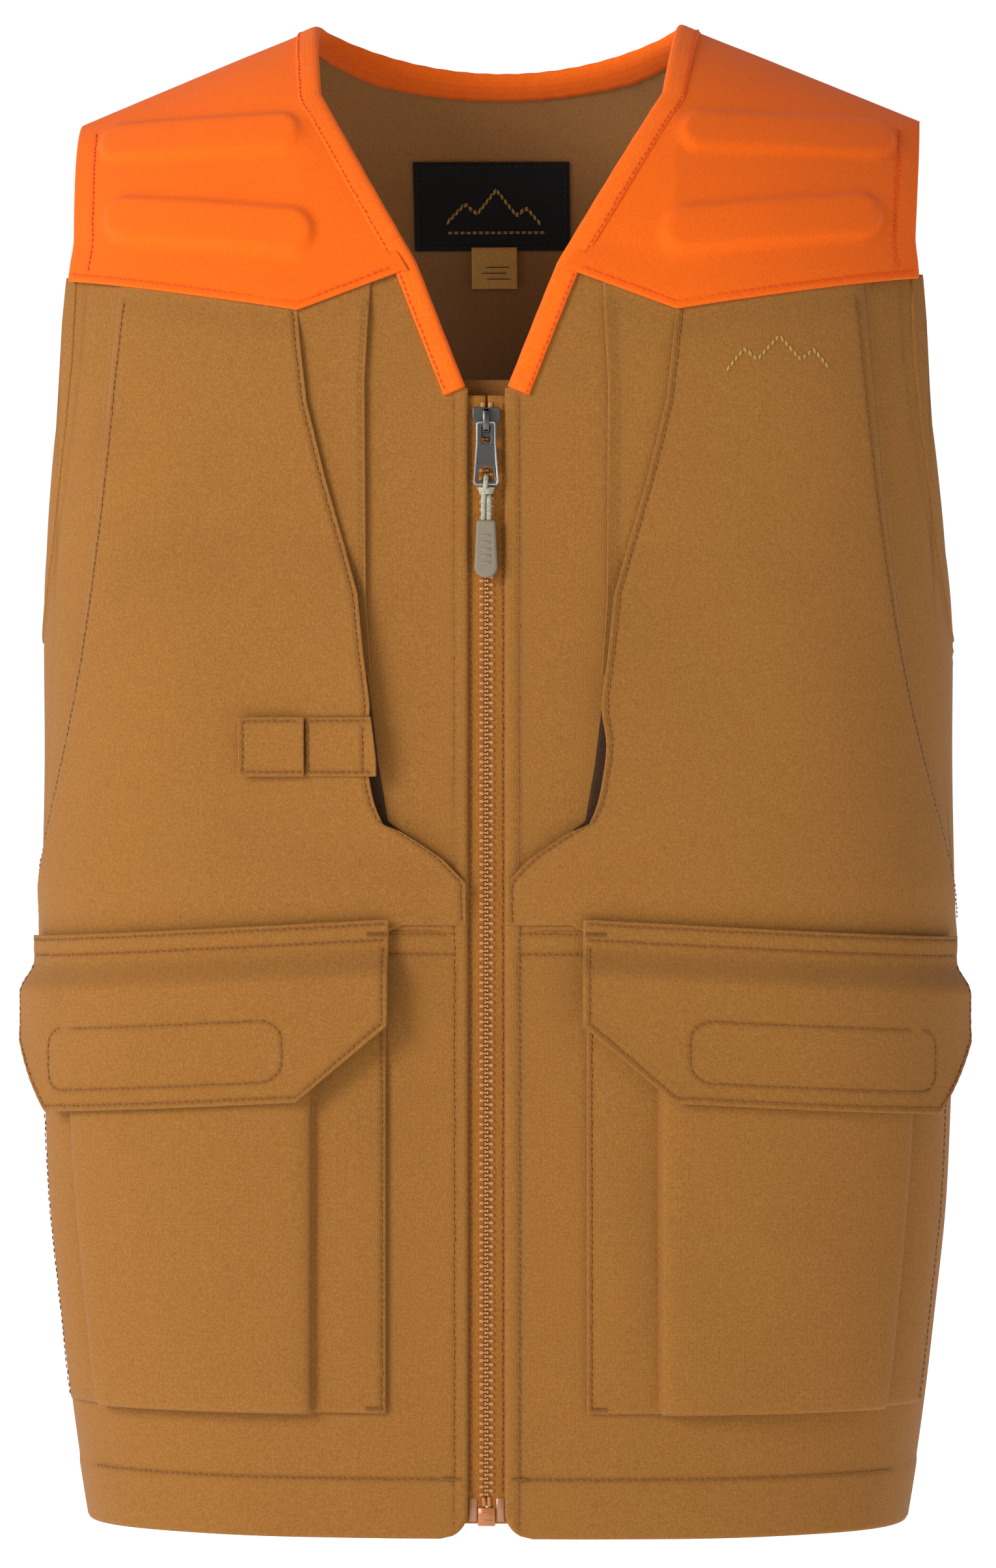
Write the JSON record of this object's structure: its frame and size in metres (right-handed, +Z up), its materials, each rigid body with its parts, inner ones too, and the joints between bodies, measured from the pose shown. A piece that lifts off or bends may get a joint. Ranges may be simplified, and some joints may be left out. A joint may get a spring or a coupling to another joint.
{
  "type": "sleeveless field vest",
  "caption": "Sleeveless field vest with orange shoulder yokes, tan duck body, full front zip, slanted chest pockets, flapped cargo pockets and a chest tab.",
  "frame": {"origin": "middle of the neck opening, level with the tops of the shoulders, where a hanger or the shoulders carry the vest", "axes": "+Z up, +X to the right as seen from the front, the front faces -Y"},
  "size_m": [0.4586, 0.2493, 0.7266],
  "materials": {
    "tan_duck": "matte tan duck cloth",
    "tan_lining": "matte tan cloth, inside",
    "orange_cloth": "matte fluorescent orange cloth",
    "pad_foam": "closed cell foam",
    "zip_tape": "woven tape",
    "zip_plastic": "moulded tan plastic",
    "film": "clear tan film",
    "gunmetal": "worn gunmetal",
    "cord": "braided pale cord",
    "tab_rubber": "matte moulded rubber",
    "hook_loop": "hook and loop strip",
    "label_black": "black woven label",
    "label_tan": "printed care label"
  },
  "bodies": {
    "shell": {"left_inner_front": "tan_duck", "right_inner_front": "tan_duck", "left_chest_gusset": "tan_duck", "right_chest_gusset": "tan_duck", "left_chest_overlay": "tan_duck", "right_chest_overlay": "tan_duck", "left_side_panel": "tan_duck", "right_side_panel": "tan_duck", "left_lower_front": "tan_duck", "right_lower_front": "tan_duck", "left_front_yoke": "orange_cloth", "right_front_yoke": "orange_cloth", "back_panel": "tan_duck", "back_yoke": "orange_cloth", "neck_binding": "orange_cloth", "left_shoulder_pads": "pad_foam", "right_shoulder_pads": "pad_foam", "left_armhole_facing": "tan_lining", "right_armhole_facing": "tan_lining", "left_zip_facing": "tan_lining", "right_zip_facing": "tan_lining", "storm_flap": "tan_lining", "left_hem_facing": "tan_lining", "right_hem_facing": "tan_lining", "back_hem_facing": "tan_lining", "left_zip_tape": "zip_tape", "right_zip_tape": "zip_tape", "left_zip_teeth": "zip_plastic", "right_zip_teeth": "zip_plastic", "zip_top_stops": "zip_plastic", "zip_retainer_box": "zip_plastic", "zip_end_film": "film", "left_pocket_front": "tan_duck", "right_pocket_front": "tan_duck", "left_pocket_gusset": "tan_duck", "right_pocket_gusset": "tan_duck", "left_flap_header": "tan_duck", "right_flap_header": "tan_duck", "left_loop_strip": "hook_loop", "right_loop_strip": "hook_loop", "neck_label": "label_black", "care_label": "label_tan", "chest_tab_base": "tan_duck", "chest_tab_loop_patch": "hook_loop"},
    "slider": {"zip_slider": "gunmetal", "zip_slider_back": "gunmetal"},
    "pull": {"zip_pull": "gunmetal"},
    "tab": {"pull_cord": "cord", "pull_tab": "tab_rubber"},
    "left_flap": {"left_pocket_flap": "tan_duck", "left_hook_strip": "hook_loop"},
    "right_flap": {"right_pocket_flap": "tan_duck", "right_hook_strip": "hook_loop"},
    "chest_tab": {"chest_tab_end": "tan_duck", "chest_tab_hook_patch": "hook_loop"}
  },
  "joints": [
    {"name": "zip_slide", "type": "slide", "parent": "shell", "child": "slider", "axis": [0, 0, -1], "range_m": [0, 0.478]},
    {"name": "pull_swing", "type": "hinge", "parent": "slider", "child": "pull", "pos_m": [0, -0.1267, -0.201], "axis": [-1, 0, 0], "range_deg": [0, 140]},
    {"name": "tab_swing", "type": "hinge", "parent": "pull", "child": "tab", "pos_m": [0, -0.1267, -0.2283], "axis": [-1, 0, 0], "range_deg": [0, 55]},
    {"name": "left_flap_lift", "type": "hinge", "parent": "shell", "child": "left_flap", "pos_m": [-0.13825, -0.1186, -0.44912], "axis": [-0.9689, 0.2416, -0.0533], "range_deg": [0, 115]},
    {"name": "right_flap_lift", "type": "hinge", "parent": "shell", "child": "right_flap", "pos_m": [0.13825, -0.1186, -0.44912], "axis": [-0.9689, -0.2416, 0.0533], "range_deg": [0, 115]},
    {"name": "chest_tab_lift", "type": "hinge", "parent": "shell", "child": "chest_tab", "pos_m": [-0.08522, -0.13098, -0.352], "axis": [0, 0, 1], "range_deg": [0, 140]}
  ]
}
